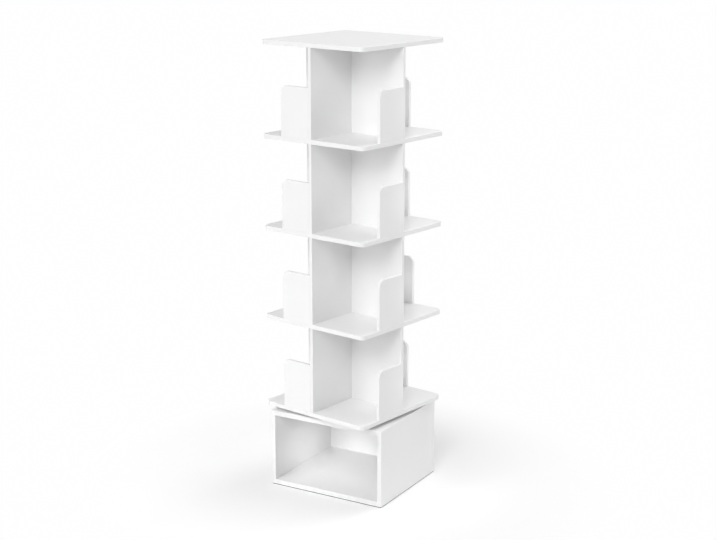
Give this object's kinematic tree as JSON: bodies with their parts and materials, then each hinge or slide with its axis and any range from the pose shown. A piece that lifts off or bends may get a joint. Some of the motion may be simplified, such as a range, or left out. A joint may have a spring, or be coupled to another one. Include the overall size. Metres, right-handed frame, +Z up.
{
  "type": "rotating media tower",
  "caption": "Tall square shelf tower with open pinwheel bays and low edge stops, turning on a ball-bearing turntable above an open-fronted base box.",
  "frame": {"origin": "on the floor, under the middle of the base box and on the axis that the tower turns about", "axes": "+Z up; -Y out of the base box's open front; +X to the right seen from the front"},
  "size_m": [0.5212, 0.5212, 1.638],
  "materials": {
    "white_board": "satin white lacquered board",
    "white_plastic": "fine matt",
    "foot_rubber": "matt",
    "dowel_wood": "raw beech",
    "fastener_steel": "zinc plated",
    "cam_zinc": "die-cast, dull",
    "ring_aluminium": "satin",
    "ball_steel": "polished",
    "cage_plastic": "natural nylon"
  },
  "bodies": {
    "base": {"base_back_panel": "white_board", "base_bottom_board": "white_board", "base_cam_bolts": "fastener_steel", "base_cam_caps": "white_plastic", "base_cams": "cam_zinc", "base_dowels": "dowel_wood", "base_foot_strips": "foot_rubber", "base_left_side": "white_board", "base_right_side": "white_board", "base_top_board": "white_board", "turntable_base_ring": "ring_aluminium", "turntable_base_screws": "fastener_steel"},
    "tower": {"bottom_shelf_board": "white_board", "fourth_shelf_board": "white_board", "panel_cam_bolts": "fastener_steel", "panel_cam_caps": "white_plastic", "panel_cams": "cam_zinc", "panel_dowels": "dowel_wood", "panel_screws": "fastener_steel", "second_shelf_board": "white_board", "stop_dowels": "dowel_wood", "stop_screws": "fastener_steel", "third_shelf_board": "white_board", "tier1_back_panel": "white_board", "tier1_back_stop": "white_board", "tier1_front_panel": "white_board", "tier1_front_stop": "white_board", "tier1_left_panel": "white_board", "tier1_left_stop": "white_board", "tier1_right_panel": "white_board", "tier1_right_stop": "white_board", "tier2_back_panel": "white_board", "tier2_back_stop": "white_board", "tier2_front_panel": "white_board", "tier2_front_stop": "white_board", "tier2_left_panel": "white_board", "tier2_left_stop": "white_board", "tier2_right_panel": "white_board", "tier2_right_stop": "white_board", "tier3_back_panel": "white_board", "tier3_back_stop": "white_board", "tier3_front_panel": "white_board", "tier3_front_stop": "white_board", "tier3_left_panel": "white_board", "tier3_left_stop": "white_board", "tier3_right_panel": "white_board", "tier3_right_stop": "white_board", "tier4_back_panel": "white_board", "tier4_back_stop": "white_board", "tier4_front_panel": "white_board", "tier4_front_stop": "white_board", "tier4_left_panel": "white_board", "tier4_left_stop": "white_board", "tier4_right_panel": "white_board", "tier4_right_stop": "white_board", "top_board": "white_board", "turntable_tower_ring": "ring_aluminium", "turntable_tower_screws": "fastener_steel"},
    "ball_cage": {"turntable_balls": "ball_steel", "turntable_ball_cage": "cage_plastic"}
  },
  "joints": [
    {"name": "tower_turn", "type": "hinge", "parent": "base", "child": "tower", "pos_m": [0, 0, 0.2955], "axis": [0, 0, 1], "continuous": true},
    {"name": "ball_cage_turn", "type": "hinge", "parent": "base", "child": "ball_cage", "pos_m": [0, 0, 0.2955], "axis": [0, 0, 1], "continuous": true}
  ],
  "couplings": [
    {"joint": "ball_cage_turn", "follows": "tower_turn", "ratio": 0.5197}
  ]
}
